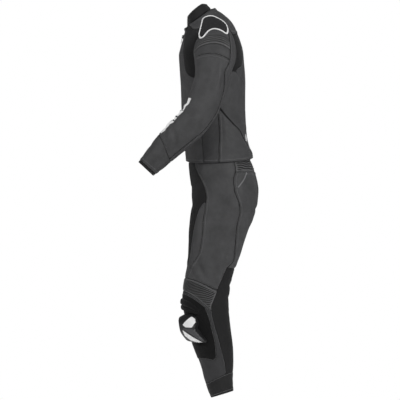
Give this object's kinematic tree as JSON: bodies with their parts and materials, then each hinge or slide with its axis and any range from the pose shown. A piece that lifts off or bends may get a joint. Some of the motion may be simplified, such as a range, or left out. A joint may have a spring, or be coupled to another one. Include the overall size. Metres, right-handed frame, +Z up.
{
  "type": "leather motorcycle suit",
  "caption": "Worn two-piece leather motorcycle suit with no wearer: zipped jacket with bent sleeves over trousers with knee sliders, stretch panels and accordion strips.",
  "frame": {"origin": "midway between the two shoulder tops, where the wearer holds the suit up", "axes": "+X is the wearer's left, -Y the front, +Z up"},
  "size_m": [0.59, 0.4293, 1.419],
  "materials": {
    "charcoal_leather": "semi-matt grained leather",
    "accordion_leather": "ribbed leather over elastic",
    "dark_leather": "matt leather",
    "stretch_fabric": "woven stretch fabric",
    "neoprene": "smooth knitted edge",
    "perforated_insert": "perforated mesh framed in white piping",
    "knee_velour": "matt looped velour",
    "slider_plastic": "moulded, with white and grey faces",
    "zip_tape": "woven tape with moulded teeth",
    "zip_metal": "darkened metal"
  },
  "bodies": {
    "suit": {"ankle_cuff_left": "neoprene", "ankle_cuff_right": "neoprene", "back_centre": "charcoal_leather", "back_side_left": "charcoal_leather", "back_side_right": "charcoal_leather", "back_stretch_left": "stretch_fabric", "back_stretch_right": "stretch_fabric", "calf_stretch_left": "stretch_fabric", "calf_stretch_right": "stretch_fabric", "chest_stretch_left": "stretch_fabric", "chest_stretch_right": "stretch_fabric", "collar": "neoprene", "cuff_left": "neoprene", "cuff_right": "neoprene", "fly": "dark_leather", "front_left": "charcoal_leather", "front_right": "charcoal_leather", "front_stretch_left": "stretch_fabric", "front_stretch_right": "stretch_fabric", "front_zip": "zip_tape", "knee_cup_left": "knee_velour", "knee_cup_right": "knee_velour", "knee_panel_left": "knee_velour", "knee_panel_right": "knee_velour", "knee_ribs_left": "accordion_leather", "knee_ribs_right": "accordion_leather", "knee_slider_left": "slider_plastic", "knee_slider_right": "slider_plastic", "lower_back_left": "charcoal_leather", "lower_back_right": "charcoal_leather", "outer_sleeve_left": "charcoal_leather", "outer_sleeve_right": "charcoal_leather", "outer_thigh_left": "charcoal_leather", "outer_thigh_right": "charcoal_leather", "rear_ribs_left": "accordion_leather", "rear_ribs_right": "accordion_leather", "seat_left": "charcoal_leather", "seat_right": "charcoal_leather", "shin_left": "dark_leather", "shin_right": "dark_leather", "shoulder_insert_left": "perforated_insert", "shoulder_insert_right": "perforated_insert", "side_left": "dark_leather", "side_right": "dark_leather", "sleeve_band_left": "charcoal_leather", "sleeve_band_right": "charcoal_leather", "sleeve_cap_left": "charcoal_leather", "sleeve_cap_right": "charcoal_leather", "sleeve_ribs_left": "accordion_leather", "sleeve_ribs_right": "accordion_leather", "thigh_front_left": "charcoal_leather", "thigh_front_right": "charcoal_leather", "under_sleeve_left": "charcoal_leather", "under_sleeve_right": "charcoal_leather", "waistband": "dark_leather", "wrist_left": "charcoal_leather", "wrist_right": "charcoal_leather", "yoke": "charcoal_leather", "zip_slider": "zip_metal"},
    "zip_pull": {"zip_pull": "zip_metal"}
  },
  "joints": [
    {"name": "pull_hinge", "type": "hinge", "parent": "suit", "child": "zip_pull", "pos_m": [0, -0.10643, -0.07059], "axis": [-1, 0, 0], "range_deg": [0, 150]}
  ]
}
